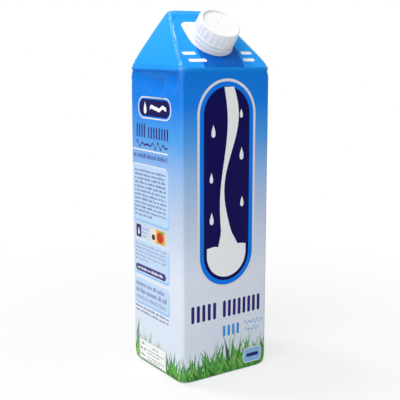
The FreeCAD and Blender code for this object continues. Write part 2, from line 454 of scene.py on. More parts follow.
def wall_print():
    """Everything printed on the four walls, in painting order, on the unfolded strip."""
    rng = random.Random(5)
    shapes = grass(11).shapes
    for centre in (FRONT, BACK):
        sheet = front_print(centre)
        volume_label(sheet)
        shapes += sheet.shapes
    for centre, seed in ((LEFT, 21), (RIGHT, 34)):
        sheet = side_print(centre, seed)
        recycling_card(sheet, rng)
        shapes += sheet.shapes
    return shapes


def roof_print():
    """Dark band and white bars on the front slope, in the slope's x and way up."""
    sheet = Sheet()
    foot = [(-17.1, 1e-3), (14.3, 1e-3)]
    sheet.add("band", foot + [(16.2, 17.0), (16.2, 24.0), (-15.0, 24.0), (-15.2, 17.0)])
    bars = ((-28.2, -18.0, 12.2), (-26.4, -12.6, 5.6), (18.4, 27.2, 12.2), (16.8, 26.2, 5.6))
    for left, right, low in bars:
        sheet.add("white", rounded_box(left, right, low, low + 2.8, 1.2))
    return sheet.shapes


# ---------------------------------------------------------------- the pack's sharp body


def pack_planes():
    """Outward normal and distance of each flat of the pack."""
    gable_run = half_width - ridge_half
    sides = (-1, 1)
    flats = [((0, 0, -1), (0, 0, 0)), ((0, 0, 1), (0, 0, ridge_z))]
    flats += [((side, 0, 0), (side * half_width, 0, 0)) for side in sides]
    flats += [((0, side, 0), (0, side * half_depth, 0)) for side in sides]
    for side, run in zip(sides, (front_run, back_run)):
        flats.append(((0, side * roof_rise, run), (0, side * half_depth, shoulder_z)))
    for side in sides:
        flats.append(((side * roof_rise, 0, gable_run), (side * half_width, 0, shoulder_z)))
    planes = [(Vector(normal).normalized(), Vector(point)) for normal, point in flats]
    return [(normal, normal.dot(point)) for normal, point in planes]


def inset_body(planes, inset):
    """Search tree of the convex body whose flats lie a given distance inside the pack's."""
    tolerance, same_corner = 1e-3, 1e-2
    body = bmesh.new()
    for first in range(len(planes)):
        for second in range(first):
            for third in range(second):
                rows = [planes[index] for index in (first, second, third)]
                matrix = Matrix([normal for normal, _ in rows])
                if abs(matrix.determinant()) < 1e-6:
                    continue
                point = matrix.inverted() @ Vector([distance - inset for _, distance in rows])
                reach = tolerance - inset
                if all(normal.dot(point) <= distance + reach for normal, distance in planes):
                    body.verts.new(point)
    bmesh.ops.remove_doubles(body, verts=body.verts, dist=same_corner)
    bmesh.ops.convex_hull(body, input=body.verts)
    tree = BVHTree.FromBMesh(body)
    body.free()
    return tree


def even_stops(length, fine=0.4, reach=3.2, coarse=1.6):
    """Places along an edge: close together near its ends, one exactly in the middle."""
    half = length / 2
    if half <= reach:
        count = max(1, round(half / fine))
        first = [half * index / count for index in range(count + 1)]
    else:
        near = round(reach / fine)
        far = max(1, round((half - reach) / coarse))
        first = [reach * index / near for index in range(near)]
        first += [reach + (half - reach) * index / far for index in range(far + 1)]
    return first + [length - stop for stop in first[-2::-1]]


def along(start, end):
    """Points from start up to but not at end."""
    length = (end - start).length
    return [start + (end - start) * (stop / length) for stop in even_stops(length)[:-1]]


def graded(low, high, marks, coarse):
    """Stops between low and high, with finer stretches where marks ask for them.

    Each mark is (from, to, spacing).
    """
    stops = [low]
    while stops[-1] < high - 1e-6:
        at = stops[-1]
        step = coarse
        for start, stop, spacing in marks:
            if start - spacing <= at < stop:
                step = min(step, spacing)
            elif at < start:
                step = min(step, max(spacing, start - at))
        stops.append(min(at + step, high))
    return stops


def inside(outline, x, y, margin):
    """Whether a point lies in the outline, and clear of its edges."""
    within = False
    for index, (ax, ay) in enumerate(outline):
        bx, by = outline[index - 1]
        dx, dy = bx - ax, by - ay
        length = dx * dx + dy * dy
        if length:
            share = min(max(((x - ax) * dx + (y - ay) * dy) / length, 0.0), 1.0)
            if math.hypot(x - ax - dx * share, y - ay - dy * share) < margin:
                return False
        if (ay > y) != (by > y) and x < (bx - ax) * (y - ay) / (by - ay) + ax:
            within = not within
    return within


def cut_panel(outline, shapes, grid, folds=()):
    """Triangles of one panel, cut along its print. Gives points, triangles and their inks."""
    points = [Vector(place) for place in outline]
    edges = []
    for line in folds:
        edges += [(len(points) + index, len(points) + index + 1) for index in range(len(line) - 1)]
        points += [Vector(place) for place in line]
    faces = [list(range(len(outline)))]
    inks = [0]
    for ink, shape in shapes:
        faces.append(list(range(len(points), len(points) + len(shape))))
        points += [Vector(place) for place in shape]
        inks.append(ink)
    points += [Vector(place) for place in grid]
    made, _, triangles, _, _, sources = delaunay_2d_cdt(points, edges, faces, 0, 1e-5)
    kept, colours = [], []
    for triangle, source in zip(triangles, sources):
        if 0 in source:
            kept.append(triangle)
            colours.append(inks[max(source)])
    return made, kept, colours


class Body:
    """Collects the panels into one closed surface."""

    def __init__(self):
        self.mesh = bmesh.new()
        self.ink = self.mesh.faces.layers.int.new("ink")

    def add(self, cut, place):
        """Adds a cut panel; place says where each of its flat points lies in space."""
        points, triangles, colours = cut
        verts = {}
        for triangle, colour in zip(triangles, colours):
            corners = []
            for index in triangle:
                if index not in verts:
                    verts[index] = self.mesh.verts.new(place(points[index]))
                corners.append(verts[index])
            face = self.mesh.faces.new(corners)
            face[self.ink] = colour
            face.smooth = True


def add_flat(body, corners, across, shapes=(), spacing=2.0, top_detail=0.0):
    """One flat panel of the roof or the base, with its own x along the given direction."""
    origin = corners[0]
    normal = (corners[1] - corners[0]).cross(corners[-1] - corners[0]).normalized()
    across = across.normalized()
    up = normal.cross(across)
    border = []
    for index, corner in enumerate(corners):
        border += along(corner, corners[(index + 1) % len(corners)])
    anchor = origin.copy()          # the panel's own zero lies in the middle of the pack
    anchor[0 if abs(across.x) > 0.5 else 1] = 0
    outline = [((point - anchor).dot(across), (point - anchor).dot(up)) for point in border]
    left, right = min(x for x, _ in outline), max(x for x, _ in outline)
    low, high = min(y for _, y in outline), max(y for _, y in outline)
    row_marks = ((low, low + 3, fold_grid), (high - 3 - top_detail, high, fold_grid))
    rows = graded(low, high, row_marks, spacing)
    column_marks = ((left, left + 3, fold_grid), (right - 3, right, fold_grid))
    columns = graded(left, right, column_marks, spacing)
    grid = [(x, y) for y in rows for x in columns if inside(outline, x, y, border_clearance)]
    grid += near_border(outline)
    cut = cut_panel(outline, shapes, grid)
    body.add(cut, lambda point: anchor + across * point.x + up * point.y)


def near_border(outline):
    """Points in a few lines just inside an outline, where its edge will be rounded."""
    points = []
    for index, (ax, ay) in enumerate(outline):
        bx, by = outline[(index + 1) % len(outline)]
        length = math.dist((ax, ay), (bx, by))
        count = max(1, round(length / border_grid))
        for step in range(count):
            share = (step + 0.5) / count
            x, y = ax + (bx - ax) * share, ay + (by - ay) * share
            for inset in border_lines:
                place = (x - (by - ay) / length * inset, y + (bx - ax) / length * inset)
                if inside(outline, place[0], place[1], inset - 0.05):
                    points.append(place)
    return points


def strip_place(point):
    """Where a point of the unfolded walls lies on the sharp body."""
    around = point.x
    walls = (
        # middle of the wall on the strip, where that stands, and the way along it
        (0, Vector((0, half_depth, 0)), Vector((-1, 0, 0))),
        (LEFT, Vector((-half_width, 0, 0)), Vector((0, -1, 0))),
        (FRONT, Vector((0, -half_depth, 0)), Vector((1, 0, 0))),
        (RIGHT, Vector((half_width, 0, 0)), Vector((0, 1, 0))),
        (BACK, Vector((0, half_depth, 0)), Vector((-1, 0, 0))),
    )
    for centre, face, across in walls:
        half = half_depth if across.y else half_width
        if abs(around - centre) <= half + 1e-4:
            return face + across * (around - centre) + Vector((0, 0, point.y))
    raise ValueError("a point of the walls lies off the strip")


def chain(corners):
    """Stops along a line of the strip, the same as the roof and base panels have there.

    The back wall is split at its middle, so each of its halves takes half the stops.
    """
    points = []
    for start, end in zip(corners, corners[1:]):
        length = abs(end[0] - start[0])
        at_seam = start[0] in (0, perimeter) or end[0] in (0, perimeter)
        stops = even_stops(2 * length) if at_seam else even_stops(length)
        if at_seam:
            stops = stops[: len(stops) // 2 + 1]
            if start[0] in (0, perimeter):
                stops = [length - stop for stop in stops[::-1]]
        turn = 1 if end[0] > start[0] else -1
        points += [(start[0] + turn * stop, start[1]) for stop in stops[:-1]]
    points.append(corners[-1])
    return points


def add_walls(body):
    """The four walls as one unfolded strip, with all their print."""
    folds = (0, half_width, LEFT + half_depth, FRONT + half_width, RIGHT + half_depth, perimeter)
    row_marks = ((0, 3.2, 0.4), (186, 206, 0.9), (206, shoulder_z, hem_grid))
    rows = graded(0, shoulder_z, row_marks, wall_grid)
    outline = chain([(at, 0) for at in folds])
    outline += [(perimeter, z) for z in rows[1:-1]]
    outline += chain([(at, shoulder_z) for at in folds[::-1]])
    outline += [(0, z) for z in rows[-2:0:-1]]
    column_marks = [(at - fold_reach, at + fold_reach, fold_grid) for at in folds[1:-1]]
    columns = graded(0, perimeter, column_marks, wall_grid)
    creased_columns = graded(0, perimeter, column_marks, creased_grid)
    grid = []
    for z in rows[1:-1]:
        grid += [(at, z) for at in (columns if z < creased_from else creased_columns)[1:-1]]
    shapes = []
    for ink, points in wall_print():
        shapes.append((ink, points))
        # what runs past one end of the strip comes in again at the other
        if min(x for x, _ in points) < 0:
            shapes.append((ink, [(x + perimeter, y) for x, y in points]))
        if max(x for x, _ in points) > perimeter:
            shapes.append((ink, [(x - perimeter, y) for x, y in points]))
    fold_lines = [[(at, z) for z in rows] for at in folds[1:-1]]
    body.add(cut_panel(outline, shapes, grid, fold_lines), strip_place)


def sharp_body():
    """The whole pack with sharp edges and its print cut in."""
    body = Body()
    add_walls(body)
    x, y, r = half_width, half_depth, ridge_half
    s, t = shoulder_z, ridge_z
    ridge_front = ridge_y - ridge_half_thickness
    ridge_back = ridge_y + ridge_half_thickness
    left_front, left_back = Vector((-x, -y, s)), Vector((-x, y, s))
    right_front, right_back = Vector((x, -y, s)), Vector((x, y, s))
    ridge_corners = [Vector((-r, ridge_front, t)), Vector((r, ridge_front, t))]
    ridge_corners += [Vector((r, ridge_back, t)), Vector((-r, ridge_back, t))]
    rlf, rrf, rrb, rlb = ridge_corners
    base = [Vector((-x, y, 0)), Vector((x, y, 0)), Vector((x, -y, 0)), Vector((-x, -y, 0))]
    to_right, to_back = Vector((1, 0, 0)), Vector((0, 1, 0))
    add_flat(body, [left_front, right_front, rrf, rlf], to_right, roof_print(), 1.6, 6.0)
    add_flat(body, [right_back, left_back, rlb, rrb], -to_right, (), 1.8, 2.0)
    add_flat(body, [left_back, left_front, rlf, rlb], -to_back, (), 1.6)
    add_flat(body, [right_front, right_back, rrb, rrf], to_back, (), 1.6)
    add_flat(body, ridge_corners, to_right, (), 0.4)
    add_flat(body, base, to_right, base_relief_lines(), 3.0)
    bmesh.ops.remove_doubles(body.mesh, verts=body.mesh.verts, dist=weld_distance)
    return body


# ---------------------------------------------------------------- rounding and creasing


def base_hollows(inset):
    """The two sunk fields of the base, between the folded ears and the seal."""
    rim, ear_tip, seal = 4.0 + inset, 9.5 - inset, 4.0 + inset
    x, y = half_width - rim, half_depth - rim
    at_seal = ear_tip + (x - ear_tip) * seal / y
    front = [(-x, -y), (x, -y), (at_seal, -seal), (-at_seal, -seal)]
    return [front, [(-px, -py) for px, py in front]]


def base_relief_lines():
    """Outlines of the sunk fields at their upper and lower edges, cut into the base."""
    lines = []
    for inset in (0.0, 0.5):
        for points in base_hollows(inset):
            lines.append((0, [(px, py) for px, py in points]))
    return lines


def hollow_depth(x, y):
    """How far the base is sunk at a place."""
    deepest = 0.0
    for points in base_hollows(0.0):
        distance = 1e9
        for index, (ax, ay) in enumerate(points):
            bx, by = points[(index + 1) % 4]
            length = math.dist((ax, ay), (bx, by))
            distance = min(distance, ((bx - ax) * (y - ay) - (by - ay) * (x - ax)) / length)
        deepest = max(deepest, hollow * min(max(distance / hollow_edge, 0.0), 1.0))
    return deepest


def tuck(at, below, back, tip, front, drop, fall, depth):
    """Depth of a facet tucked in under the flap's hem.

    It leans in from the hem down to a slanting crease, deepest at its tip, and comes back out
    below the crease over the length of fall.
    """
    share = (back - at) / (back - tip) if at > tip else (at - front) / (tip - front)
    if share <= 0:
        return 0.0
    crease = drop * share
    lean = below / crease if below < crease else 1 - (below - crease) / fall
    return depth * share * max(lean, 0.0)


def side_relief(front_to_back, z):
    """How far a side wall stands out near its flap: hem, groove and tucked-in facets."""
    ends = smooth(half_depth - 0.5, half_depth - 4.0, abs(front_to_back))
    below = max(hem_low - z, 0.0)
    long_fold = tuck(front_to_back, below, 27.0, -7.0, -15.0, drop=8.5, fall=12.0, depth=3.8)
    pocket = tuck(front_to_back, below, -10.0, -23.0, -31.0, drop=3.4, fall=12.0, depth=3.0)
    fold = max(long_fold, pocket)
    hem = 0.7 * smooth(hem_low, hem_low + 0.5, z) * smooth(211.2, 210.4, z)
    groove = 0.7 * smooth(0.9, 0.0, abs(z - hem_low + 0.2)) * smooth(1.4, 0.2, fold)
    return ends * (hem - groove - fold)


def arch(share):
    """0 at the ends of a span and 1 in its middle, rising fast from the ends."""
    return math.sin(math.pi * min(max(share, 0.0), 1.0)) ** 0.7 if 0 < share < 1 else 0.0


def panel_bulge(across, half, z):
    """The filled pack's walls swell a little between their edges."""
    return 0.55 * max(0.0, 1 - (across / half) ** 2) * arch(z / shoulder_z)


def ridge_relief(up_slope):
    """A pressed line under the ridge, and the sealed strip above it leaning back."""
    from_ridge = slope_length - up_slope
    return 0.5 * smooth(8.0, 4.4, from_ridge) - 0.9 * smooth(4.4, 0.2, from_ridge)


# Height in mm and waves per mm of the board's unevenness
SLOW_WAVER = ((0.10, 0.045), (0.035, 0.17))
CORNER_CRUMPLE = ((0.45, 0.42), (0.25, 0.9))


def uneven(place, layers):
    """Sum of noises at a place."""
    return sum(height * noise.noise(place * pitch) for height, pitch in layers)


def flange_crease(x, up_slope):
    """A faint pressed arc to the left of the flange."""
    from_arc = abs(math.hypot(x - 2.0, up_slope - 26.0) - 29.0)
    return 0.35 * smooth(1.4, 0.0, from_arc) * smooth(-8, -16, x)


def gable_bulge(y, z):
    """The roof's triangular ends swell most in their middle."""
    lift = max((z - shoulder_z) / roof_rise, 0.0)
    spread = half_depth * (1 - 0.75 * lift)
    across = (y - ridge_y * lift) / spread
    return (0.5 + 0.7 * max(0.0, 1 - across ** 2)) * arch(lift ** 0.6)


def surface_relief(place, normal):
    """How far the board stands out of, or in from, the pack's plain flats at a place."""
    x, y, z = place
    from_corner = math.hypot(half_width - abs(x), half_depth - abs(y), (z - shoulder_z) * 0.7)
    crumple = (uneven(place, CORNER_CRUMPLE) - 0.12) * smooth(12.0, 3.0, from_corner)
    relief = uneven(place, SLOW_WAVER) + crumple
    if normal.z < -0.9:
        return -hollow_depth(x, -y) * smooth(0.5, 0.1, z)
    wall = smooth(0.3, 0.05, abs(normal.z))
    if abs(normal.x) > 0.8 and z < shoulder_z + 0.5:
        relief += panel_bulge(y, half_depth, z) + side_relief(y, z)
    elif abs(normal.y) > 0.8 and wall > 0:
        relief += panel_bulge(x, half_width, z)
    elif normal.y < -0.3 and normal.z > 0.3:
        up_slope = math.hypot(y + half_depth, z - shoulder_z)
        relief += ridge_relief(up_slope) - flange_crease(x, up_slope)
    elif abs(normal.x) > 0.5 and z > shoulder_z - 0.5:
        relief += gable_bulge(y, z)
    return relief


def fold_shares(place):
    """How much of the broad, soft and crisp radius a fold has at a place."""
    upright = math.hypot(half_width - abs(place.x), half_depth - abs(place.y))
    from_end = min(place.z, abs(place.z - shoulder_z))
    broad = smooth(8.0, 2.5, math.hypot(upright, from_end))
    shoulder = smooth(3.6, 2.2, abs(place.z - shoulder_z)) * smooth(1.0, 6.0, upright)
    ridge = smooth(ridge_z - 8, ridge_z - 4, place.z) * smooth(0.3, 6.0, ridge_half - abs(place.x))
    crisp = max(shoulder, ridge) * (1 - broad)
    return broad, 1 - broad - crisp, crisp


def round_and_crease(mesh):
    """Rounds the folds of the sharp body and adds the board's swelling and creases.

    How far each point was drawn in is kept, as the mask of rubbed folds; the board lightens its
    colour with it, partly as wear and partly as a painted highlight, and gives the folds their
    coat.
    """
    planes = pack_planes()
    fully_worn_and_highlit = 0.35             # drawn in by this much or more
    radii = (broad_radius, soft_radius, crisp_radius)
    trees = [inset_body(planes, radius) for radius in radii]
    fold = mesh.verts.layers.float.new("fold")
    for vert in mesh.verts:
        sharp = vert.co.copy()
        rounded, outward = Vector(), Vector()
        for tree, radius, share in zip(trees, radii, fold_shares(sharp)):
            if share > 0:
                core, _, _, _ = tree.find_nearest(sharp)
                direction = (sharp - core).normalized()
                rounded += (core + direction * radius) * share
                outward += direction * share
        outward.normalize()
        drawn_in = (sharp - rounded).length
        # the walls' folds are rubbed, and lightened with painted highlight, less than the roof's
        share = 1 - 0.55 * smooth(shoulder_z + 1.0, shoulder_z - 5.0, sharp.z)
        vert[fold] = share * min(drawn_in / fully_worn_and_highlit, 1.0)
        vert.co = rounded + outward * surface_relief(rounded, outward)


# ---------------------------------------------------------------- meshes


def mesh_object(name, mesh, material):
    """Turns a mesh into an object of the scene."""
    data = bpy.data.meshes.new(name)
    mesh.to_mesh(data)
    mesh.free()
    data.materials.append(material)
    made = bpy.data.objects.new(name, data)
    bpy.context.scene.collection.objects.link(made)
    return made


def new_piece(name, mesh, material):
    """A mesh in millimetres becomes a piece of the pack."""
    bmesh.ops.scale(mesh, vec=(MM, MM, MM), verts=mesh.verts)
    bmesh.ops.recalc_face_normals(mesh, faces=mesh.faces)
    piece = mesh_object(name, mesh, material)
    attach(piece, "root")
    return piece


def colour_by_ink(data):
    """Stores each face's ink, with its cover of the ground print as alpha."""
    inks = data.attributes["ink"].data
    colours = data.color_attributes.new("print_ink", "FLOAT_COLOR", "CORNER")
    values = [linear(*ink[:3]) + (ink[3],) for ink in INKS.values()]
    flat = []
    for polygon in data.polygons:
        flat += values[inks[polygon.index].value] * polygon.loop_total
    colours.data.foreach_set("color", flat)


def make_carton(material):
    """The printed board: walls, roof and base in one closed surface."""
    body = sharp_body()
    round_and_crease(body.mesh)
    piece = new_piece("board_pack", body.mesh, material)
    colour_by_ink(piece.data)
    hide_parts("carton")
    return piece


def on_slope():
    """Matrix from the closure's own frame, cap axis as z, to the front slope."""
    cosine, sine = front_run / slope_length, roof_rise / slope_length
    foot = Vector((0, -half_depth, shoulder_z)) + Vector((0, cosine, sine)) * closure_up_slope
    return Matrix((
        (1, 0, 0, foot.x),
        (0, cosine, -sine, foot.y),
        (0, sine, cosine, foot.z),
        (0, 0, 0, 1),
    ))


def join_rings(mesh, rings):
    """Faces between rings of points, one above the other; a ring of one point closes an end."""
    count = max(len(ring) for ring in rings)
    for low, high in zip(rings, rings[1:]):
        for index in range(count):
            after = (index + 1) % count
            if len(low) == 1:
                mesh.faces.new((low[0], high[index], high[after]))
            elif len(high) == 1:
                mesh.faces.new((low[index], low[after], high[0]))
            else:
                mesh.faces.new((low[index], low[after], high[after], high[index]))


def ring_points(mesh, angles, reaches, height):
    """Points round the axis, one for each angle, at their own reaches."""
    return [
        mesh.verts.new((reach * math.cos(angle), reach * math.sin(angle), height))
        for angle, reach in zip(angles, reaches)
    ]


def even_angles(count):
    """Angles once round, evenly spaced."""
    return [2 * math.pi * index / count for index in range(count)]


def corner(radius, height, size, start, stop, steps=5):
    """Rounded corner of a turned outline, about a centre, between two angles in degrees."""
    return arc_points(radius, height, size, size, start, stop, steps)


def flange_reach(angle, inset):
    """Distance from the cap's axis to the flange's outline, moved in by inset, at an angle."""
    low, high = 10.0, 30.0
    cosine, sine = math.cos(angle), math.sin(angle)
    corner_size = 4.0
    for _ in range(40):
        reach = (low + high) / 2
        x, y = abs(reach * cosine), reach * sine
        if y < flange_round_offset:
            outside = math.hypot(x, y - flange_round_offset) - flange_half_width
        else:
            dx = x - (flange_half_width - corner_size)
            dy = y - (flange_top - corner_size)
            outside = (math.hypot(dx, dy) if dx > 0 and dy > 0 else max(dx, dy)) - corner_size
        if outside > -inset:
            high = reach
        else:
            low = reach
    return reach


def make_flange(material, count=240):
    """Welded plate with the neck standing on it, hollow down to the sealed board."""
    mesh = bmesh.new()
    angles = even_angles(count)
    edge = (
        # inset, height: foot in the board, a small bead, then the rounded upper edge
        (0.25, -0.5), (0.0, 0.12), (-0.12, 0.2), (0.0, 0.34), (0.05, 0.85), (0.2, 1.08),
        (0.5, flange_thickness), (1.1, flange_thickness + 0.02),
    )
    rings = [[mesh.verts.new((0, 0, edge[0][1]))]]
    for inset, height in edge:
        reaches = [flange_reach(angle, inset) for angle in angles]
        rings.append(ring_points(mesh, angles, reaches, height))
    collar = band_radius - 0.9
    neck_inside = neck_radius - 1.4
    neck_top = 13.4
    neck_floor = 0.5
    turned = (
        (15.4, 1.22), (collar + 0.35, 1.24), (collar + 0.08, 1.32), (collar, 1.5), (collar, 1.62),
        (neck_radius + 0.4, 1.64), (neck_radius, 1.9), (neck_radius, 13.0),
        (neck_radius - 0.4, neck_top), (neck_inside + 0.3, neck_top),
        (neck_inside, neck_top - 0.3), (neck_inside, 0.9), (neck_inside - 0.6, neck_floor),
    )
    for radius, height in turned:
        rings.append(ring_points(mesh, angles, [radius] * count, height))
    rings.append([mesh.verts.new((0, 0, neck_floor))])
    join_rings(mesh, rings)
    return finish_closure("spout_flange", mesh, material, "spout")


def make_tamper_band(material):
    """Ring round the foot of the neck, with the small bridges that hold it to the cap."""
    mesh = bmesh.new()
    small, large = 0.3, 0.5         # radii of the inside and outside corners
    inside = neck_radius + closure_clearance + small
    outside = band_radius - large
    profile = corner(inside, band_bottom + small, small, 180, 270)
    profile += corner(outside, band_bottom + large, large, 270, 360)
    profile += [(band_radius, (band_bottom + band_top) / 2)]
    profile += corner(outside, band_top - large, large, 0, 90)
    profile += corner(inside, band_top - small, small, 90, 180)
    count = 180
    angles = even_angles(count)
    rings = [ring_points(mesh, angles, [radius] * count, height) for radius, height in profile]
    join_rings(mesh, rings + rings[:1])
    for index in range(bridge_count):
        add_bridge(mesh, 2 * math.pi * (index + 0.5) / bridge_count)
    return finish_closure("tamper_band_ring", mesh, material, "tamper_band")


def add_bridge(mesh, angle):
    """One thin bridge across the gap between the tamper band and the cap."""
    made = bmesh.ops.create_cube(mesh, size=1.0)["verts"]
    middle = Vector((skirt_radius - 0.35, 0, (band_top + cap_bottom) / 2))
    size = Matrix.Diagonal((0.5, 0.6, cap_bottom - band_top + 0.4, 1))
    matrix = Matrix.Rotation(angle, 4, "Z") @ Matrix.Translation(middle) @ size
    bmesh.ops.transform(mesh, matrix=matrix, verts=made)


def cap_ring_angles():
    """Angles round the cap, gathered near each rib, with their offsets from its middle."""
    pitch = 2 * math.pi * skirt_radius / rib_count
    beside = (0.08, 0.2, 0.33, 0.45, 0.58, 0.8, 1.3)
    offsets = [-0.5 * pitch] + [-offset for offset in beside[::-1]] + list(beside)
    angles = []
    for rib in range(rib_count):
        for offset in offsets:
            angles.append((2 * math.pi * rib / rib_count + offset / skirt_radius, offset))
    return angles


def rib_height(offset, height):
    """How far a rib stands out of the skirt: long, thin, with round ends."""
    depth, half, slope_from = 0.4, 0.55, 0.15
    foot, head = cap_bottom + skirt_step + 0.35, cap_top - 1.5
    beyond = max(foot - height, height - head, 0.0)
    return depth * smooth(half, slope_from, math.hypot(offset, beyond))


def make_cap(material):
    """Screw cap with thin long ribs, a smooth hem, and a sunk disc with a small gate mark."""
    mesh = bmesh.new()
    taper = 0.18
    foot = cap_bottom
    outside = [(cap_radius - 0.35, foot), (cap_radius - 0.08, foot + 0.12)]
    outside += [(cap_radius, foot + 0.35), (cap_radius, foot + 1.5)]
    outside += [(cap_radius - 0.04, foot + 1.75), (cap_radius - 0.25, foot + 1.95)]
    outside += [(skirt_radius, foot + skirt_step)]
    steps, ribbed = 16, 7.65
    for index in range(1, steps + 1):
        outside.append((skirt_radius, foot + skirt_step + ribbed * index / steps))
    edge = 0.75
    outside += [(skirt_radius + 0.1, cap_top - edge - 0.12)]
    outside += corner(cap_radius - 0.2 - edge, cap_top - edge, edge, 0, 90, 6)
    floor = cap_top - disc_depth
    disc = corner(disc_radius + 0.3, cap_top - 0.3, 0.3, 90, 180, 4)
    disc += [(disc_radius - 0.02, floor + 0.3), (disc_radius - 0.1, floor + 0.1)]
    disc += [(disc_radius - 0.35, floor), (9.0, floor - 0.03), (5.0, floor - 0.05)]
    gate_mark = [(1.5, floor - 0.05), (1.15, floor - 0.08)]
    gate_mark += [(0.95, floor - 0.28), (0.6, floor - 0.34)]
    inner = neck_radius + closure_clearance
    under = [(inner - 0.5, floor - 1.6), (inner, floor - 2.1)]
    under += [(inner, foot + 0.2), (inner + 0.2, foot)]
    angles, offsets = zip(*cap_ring_angles())
    rings = [[mesh.verts.new((0, 0, floor - 1.6))]]
    for radius, height in under + outside + disc + gate_mark:
        reaches = []
        for offset in offsets:
            reach = radius
            if radius > disc_radius + 1.0 and height > foot + 1.9:
                reach += rib_height(offset, height)
            if radius > skirt_radius - 1.2:
                reach -= taper * (height - foot) / (cap_top - foot)
            reaches.append(reach)
        rings.append(ring_points(mesh, angles, reaches, height))
    rings.append([mesh.verts.new((0, 0, floor - 0.34))])
    join_rings(mesh, rings)
    return finish_closure("screw_cap", mesh, material, "cap")


def finish_closure(name, mesh, material, node):
    """Stands a closure piece on the front slope and shades its edges."""
    bmesh.ops.transform(mesh, matrix=on_slope(), verts=mesh.verts)
    for face in mesh.faces:
        face.smooth = True
    piece = new_piece(name, mesh, material)
    piece.data.set_sharp_from_angle(angle=math.radians(50))
    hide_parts(node)
    return piece


def make_fin(material):
    """The roof's top seal, bent over the ridge and pressed down on the back slope."""
    mesh = bmesh.new()
    down = Vector((0, back_run, -roof_rise)).normalized()
    out = Vector((0, roof_rise, back_run)).normalized()
    root = Vector((0, ridge_y + ridge_half_thickness, ridge_z)) + down * 0.7 - out * 0.75
    length, half = 8.0, 17.5
    # along the slope, height: over the ridge, down the corrugated seal, round its lower edge
    section = [(-0.4, 0.0), (0.0, 0.55), (0.8, 1.1)]
    section += [(length * step / 10, 1.22 + 0.12 * math.sin(step * 1.7)) for step in range(2, 10)]
    section += [(length - 0.25, 1.2), (length, 1.05), (length, 0.75)]
    section += [(length - 0.15, 0.0), (length - 0.3, -0.4), (0.0, -0.6)]
    columns = 48
    rows = []
    for column in range(columns + 1):
        x = -half + 2 * half * column / columns
        row = []
        for along_slope, height in section:
            lift = 0.12 * noise.noise(Vector((x * 0.12, along_slope * 0.2, 3.0)))
            place = root + down * along_slope + out * (height + (lift if height > 0.5 else 0.0))
            row.append(mesh.verts.new(place + Vector((x, 0, 0))))
        rows.append(row)
    count = len(section)
    for before, after in zip(rows, rows[1:]):
        for index in range(count):
            following = (index + 1) % count
            face = (before[index], before[following], after[following], after[index])
            mesh.faces.new(face)
    mesh.faces.new(rows[0][::-1])
    mesh.faces.new(rows[-1])
    rims = [edge for edge in mesh.edges if all(abs(vert.co.x) > half - 0.1 for vert in edge.verts)]
    bmesh.ops.bevel(mesh, geom=rims, offset=0.2, segments=2, affect="EDGES", profile=0.5)
    bmesh.ops.triangulate(mesh, faces=[face for face in mesh.faces if len(face.verts) > 4])
    for face in mesh.faces:
        face.smooth = True
    piece = new_piece("roof_seal_fin", mesh, material)
    piece.data.set_sharp_from_angle(angle=math.radians(40))
    colours = piece.data.color_attributes.new("print_ink", "FLOAT_COLOR", "CORNER")
    colours.data.foreach_set("color", [0.0] * 4 * len(piece.data.loops))
    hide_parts("carton")
    return piece


# ---------------------------------------------------------------- finishes


class Nodes:
    """Short hand for building a node tree."""

    def __init__(self, tree):
        self.tree = tree

    def feed(self, target, value):
        """Links a socket to an input, or writes a number or colour on it."""
        if isinstance(value, bpy.types.NodeSocket):
            self.tree.links.new(value, target)
        else:
            target.default_value = value

    def add(self, kind, inputs=(), **settings):
        """New node with its settings; inputs names sockets and what feeds them."""
        node = self.tree.nodes.new(kind)
        for name, value in settings.items():
            setattr(node, name, value)
        for name, value in dict(inputs).items():
            self.feed(node.inputs[name], value)
        return node

    def math(self, operation, first, second):
        """Math node fed by sockets or numbers."""
        node = self.add("ShaderNodeMath", {0: first, 1: second}, operation=operation)
        return node.outputs[0]

    def remap(self, value, low=0.0, high=1.0, to_low=0.0, to_high=1.0, **settings):
        """Map Range node from one span of numbers to another."""
        spans = {"From Min": low, "From Max": high, "To Min": to_low, "To Max": to_high}
        node = self.add("ShaderNodeMapRange", {"Value": value, **spans}, **settings)
        return node.outputs["Result"]

    def blend(self, share, first, second):
        """Mix node between two colours, each a socket or a written colour."""
        node = self.add("ShaderNodeMix", data_type="RGBA")
        colours = [socket for socket in node.inputs if socket.type == "RGBA"]
        for target, value in zip((node.inputs[0], *colours), (share, first, second)):
            self.feed(target, value)
        return next(socket for socket in node.outputs if socket.type == "RGBA")

    def object_place(self):
        """The place on the piece, in metres."""
        return self.add("ShaderNodeTexCoord").outputs["Object"]


def paint(r, g, b):
    """A colour given as 0 to 255, for a colour socket."""
    return linear(r, g, b) + (1,)


def effect_group(name, inputs, outputs):
    """New shader node group with named number inputs and outputs."""
    tree = bpy.data.node_groups.new(name, "ShaderNodeTree")
    for label, value in inputs:
        socket = tree.interface.new_socket(label, in_out="INPUT", socket_type="NodeSocketFloat")
        socket.default_value = value
    for label in outputs:
        tree.interface.new_socket(label, in_out="OUTPUT", socket_type="NodeSocketFloat")
    nodes = Nodes(tree)
    return tree, nodes, nodes.add("NodeGroupInput"), nodes.add("NodeGroupOutput")


def surface_grain_group():
    """Fine grain, and a slow waver, as heights and as a mask about 0.5."""
    tree, nodes, entry, leave = effect_group(
        "surface_grain", (("Fine Scale", 2600.0), ("Slow Scale", 90.0)), ("Grain", "Waver"),
    )
    place = nodes.object_place()
    for label, target, detail in (("Fine Scale", "Grain", 3.0), ("Slow Scale", "Waver", 2.0)):
        inputs = {"Vector": place, "Scale": entry.outputs[label], "Detail": detail}
        texture = nodes.add("ShaderNodeTexNoise", {"Roughness": 0.55, **inputs})
        nodes.feed(leave.inputs[target], texture.outputs["Fac"])
    return tree


